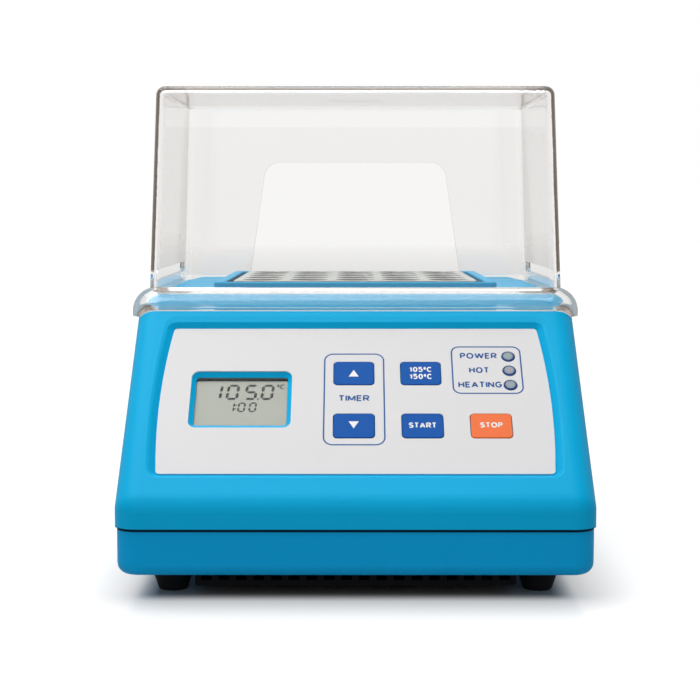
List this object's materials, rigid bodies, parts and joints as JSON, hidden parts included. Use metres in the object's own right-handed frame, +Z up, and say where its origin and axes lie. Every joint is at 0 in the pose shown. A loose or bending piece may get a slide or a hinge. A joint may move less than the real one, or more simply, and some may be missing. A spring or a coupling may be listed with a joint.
{
  "type": "chemical oxygen demand reactor",
  "caption": "Bench heating block for digestion vials in a two-part moulded housing, with a sloped key and display panel and a clear lift-off cover.",
  "frame": {"origin": "on the table under the middle of the instrument, between its four feet", "axes": "+X to the instrument's right seen from the front, +Y to its back, +Z up"},
  "size_m": [0.196, 0.3, 0.207],
  "materials": {
    "housing_blue": "light blue moulded ABS, fine satin grain",
    "tub_blue": "deeper blue moulded ABS, fine satin grain",
    "pan_black": "black moulded plastic",
    "label_white": "light grey-white printed polycarbonate film",
    "window_clear": "clear pane",
    "display_grey": "grey-green reflective liquid crystal",
    "key_blue": "satin blue key",
    "key_orange": "satin orange key",
    "switch_black": "black tact switches",
    "lens_grey": "smoked lens",
    "led_clear": "water-clear epoxy",
    "board_green": "green solder mask",
    "screw_steel": "zinc-plated steel",
    "pin_nickel": "nickel-plated brass",
    "spacer_brass": "brass hex spacers",
    "standoff_steel": "turned steel",
    "block_aluminium": "machined aluminium",
    "mica_tan": "mica sheet",
    "clamp_steel": "plain steel plate",
    "probe_steel": "stainless steel sheath",
    "cutout_metal": "pressed metal case",
    "insulation_board": "dark rigid mineral board",
    "cover_clear": "clear polycarbonate, polished",
    "inlet_black": "black thermoplastic",
    "rocker_black": "black thermoplastic",
    "fuse_metal": "nickel-plated caps",
    "fuse_glass": "glass tube",
    "transformer_dark": "varnished core",
    "sink_black": "anodised aluminium",
    "triac_black": "moulded package",
    "foot_rubber": "black rubber"
  },
  "bodies": {
    "instrument": {"base_pan": "pan_black", "block_insulation": "insulation_board", "block_standoffs": "standoff_steel", "board_screws": "screw_steel", "board_spacers": "spacer_brass", "clamp_screws": "screw_steel", "control_board": "board_green", "display_module": "display_grey", "display_window": "window_clear", "foot_front_left": "foot_rubber", "foot_front_right": "foot_rubber", "foot_rear_left": "foot_rubber", "foot_rear_right": "foot_rubber", "foot_screws": "screw_steel", "front_label": "label_white", "heat_sink": "sink_black", "heater_clamp": "clamp_steel", "heating_block": "block_aluminium", "heating_lens": "lens_grey", "hot_lens": "lens_grey", "housing_screws": "screw_steel", "indicator_leds": "led_clear", "inlet_pins": "pin_nickel", "inlet_screws": "screw_steel", "key_switches": "switch_black", "lower_housing": "tub_blue", "mains_inlet": "inlet_black", "mica_heater": "mica_tan", "pan_screws": "screw_steel", "power_board": "board_green", "power_lens": "lens_grey", "power_switch": "inlet_black", "temperature_probe": "probe_steel", "thermal_cutout": "cutout_metal", "transformer": "transformer_dark", "triac": "triac_black", "upper_housing": "housing_blue"},
    "cover": {"safety_cover": "cover_clear"},
    "rocker": {"power_rocker": "rocker_black"},
    "drawer": {"fuse_drawer": "inlet_black", "fuse_caps": "fuse_metal", "fuse_tube": "fuse_glass"},
    "up_key_body": {"up_key": "key_blue"},
    "down_key_body": {"down_key": "key_blue"},
    "temperature_key_body": {"temperature_key": "key_blue"},
    "start_key_body": {"start_key": "key_blue"},
    "stop_key_body": {"stop_key": "key_orange"}
  },
  "joints": [
    {"name": "cover_lift", "type": "slide", "parent": "instrument", "child": "cover", "axis": [0, 0, 1], "range_m": [0, 0.1]},
    {"name": "rocker_tilt", "type": "hinge", "parent": "instrument", "child": "rocker", "pos_m": [0.033, 0.143, 0.056], "axis": [-1, 0, 0], "range_deg": [0, 18]},
    {"name": "drawer_slide", "type": "slide", "parent": "instrument", "child": "drawer", "axis": [0, 1, 0], "range_m": [0, 0.016]},
    {"name": "up_key_press", "type": "slide", "parent": "instrument", "child": "up_key_body", "axis": [0, 0.682, -0.7314], "range_m": [0, 0.0004], "stiffness_N_per_m": 600, "springref_m": -0.0004},
    {"name": "down_key_press", "type": "slide", "parent": "instrument", "child": "down_key_body", "axis": [0, 0.682, -0.7314], "range_m": [0, 0.0004], "stiffness_N_per_m": 600, "springref_m": -0.0004},
    {"name": "temperature_key_press", "type": "slide", "parent": "instrument", "child": "temperature_key_body", "axis": [0, 0.682, -0.7314], "range_m": [0, 0.0004], "stiffness_N_per_m": 600, "springref_m": -0.0004},
    {"name": "start_key_press", "type": "slide", "parent": "instrument", "child": "start_key_body", "axis": [0, 0.682, -0.7314], "range_m": [0, 0.0004], "stiffness_N_per_m": 600, "springref_m": -0.0004},
    {"name": "stop_key_press", "type": "slide", "parent": "instrument", "child": "stop_key_body", "axis": [0, 0.682, -0.7314], "range_m": [0, 0.0004], "stiffness_N_per_m": 600, "springref_m": -0.0004}
  ]
}
